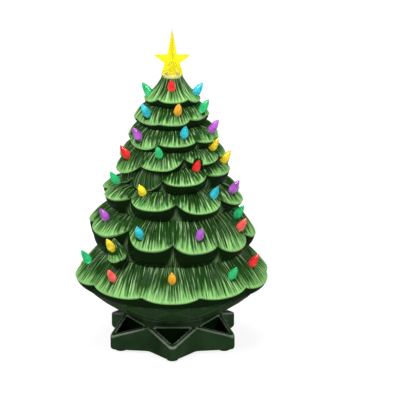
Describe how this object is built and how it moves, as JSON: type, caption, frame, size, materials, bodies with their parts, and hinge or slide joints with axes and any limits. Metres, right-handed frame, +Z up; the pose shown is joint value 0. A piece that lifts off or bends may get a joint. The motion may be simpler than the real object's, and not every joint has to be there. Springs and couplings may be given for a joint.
{
  "type": "ceramic christmas tree",
  "caption": "Small glazed ceramic tree with layered boughs, translucent plastic lamp pegs and a star, lifting off a star-shaped ceramic foot that holds a coin-cell light unit.",
  "frame": {"origin": "centre of the standing object at table level, on the tree's upright axis under the foot pads", "axes": "+Z up along the tree's axis, -Y out of the front point of the foot towards the viewer, +X to the viewer's right"},
  "size_m": [0.1116, 0.1122, 0.188],
  "materials": {
    "green_glaze": "glossy glaze, pale green brushed over dark green",
    "dark_green_glaze": "glossy dark green glaze",
    "red_plastic": "translucent, glossy",
    "coral_plastic": "translucent, glossy",
    "amber_plastic": "translucent, glossy",
    "yellow_plastic": "translucent, glossy",
    "green_plastic": "translucent, glossy",
    "blue_plastic": "translucent, glossy",
    "purple_plastic": "translucent, glossy",
    "star_plastic": "translucent, glossy",
    "pad_rubber": "matte",
    "case_plastic": "fine texture",
    "door_plastic": "fine texture",
    "cell_steel": "satin",
    "contact_brass": "plain",
    "board_laminate": "satin",
    "diode_resin": "clear",
    "screw_steel": "zinc plated",
    "switch_plastic": "plain",
    "slider_plastic": "plain",
    "wire_insulation": "plain"
  },
  "bodies": {
    "foot": {"star_foot": "dark_green_glaze", "foot_pads": "pad_rubber", "bottom_plate": "case_plastic", "lamp_case": "case_plastic", "coin_cell_lower": "cell_steel", "coin_cell_upper": "cell_steel", "negative_contact": "contact_brass", "positive_contact": "contact_brass", "circuit_board": "board_laminate", "leds": "diode_resin", "case_screws": "screw_steel", "switch_body": "switch_plastic", "switch_wires": "wire_insulation"},
    "tree": {"tree_shell": "green_glaze", "red_lamps": "red_plastic", "coral_lamps": "coral_plastic", "amber_lamps": "amber_plastic", "yellow_lamps": "yellow_plastic", "green_lamps": "green_plastic", "blue_lamps": "blue_plastic", "purple_lamps": "purple_plastic"},
    "star": {"star_topper": "star_plastic"},
    "door": {"battery_door": "door_plastic"},
    "slider": {"switch_slider": "slider_plastic"}
  },
  "joints": [
    {"name": "tree_lift", "type": "slide", "parent": "foot", "child": "tree", "axis": [0, 0, 1], "range_m": [0, 0.06]},
    {"name": "star_pull", "type": "slide", "parent": "tree", "child": "star", "axis": [0, 0, 1], "range_m": [0, 0.012]},
    {"name": "door_turn", "type": "hinge", "parent": "foot", "child": "door", "pos_m": [0, 0, 0.0018], "axis": [0, 0, 1], "range_deg": [0, 60]},
    {"name": "switch_slide", "type": "slide", "parent": "foot", "child": "slider", "axis": [1, 0, 0], "range_m": [0, 0.0025]}
  ]
}
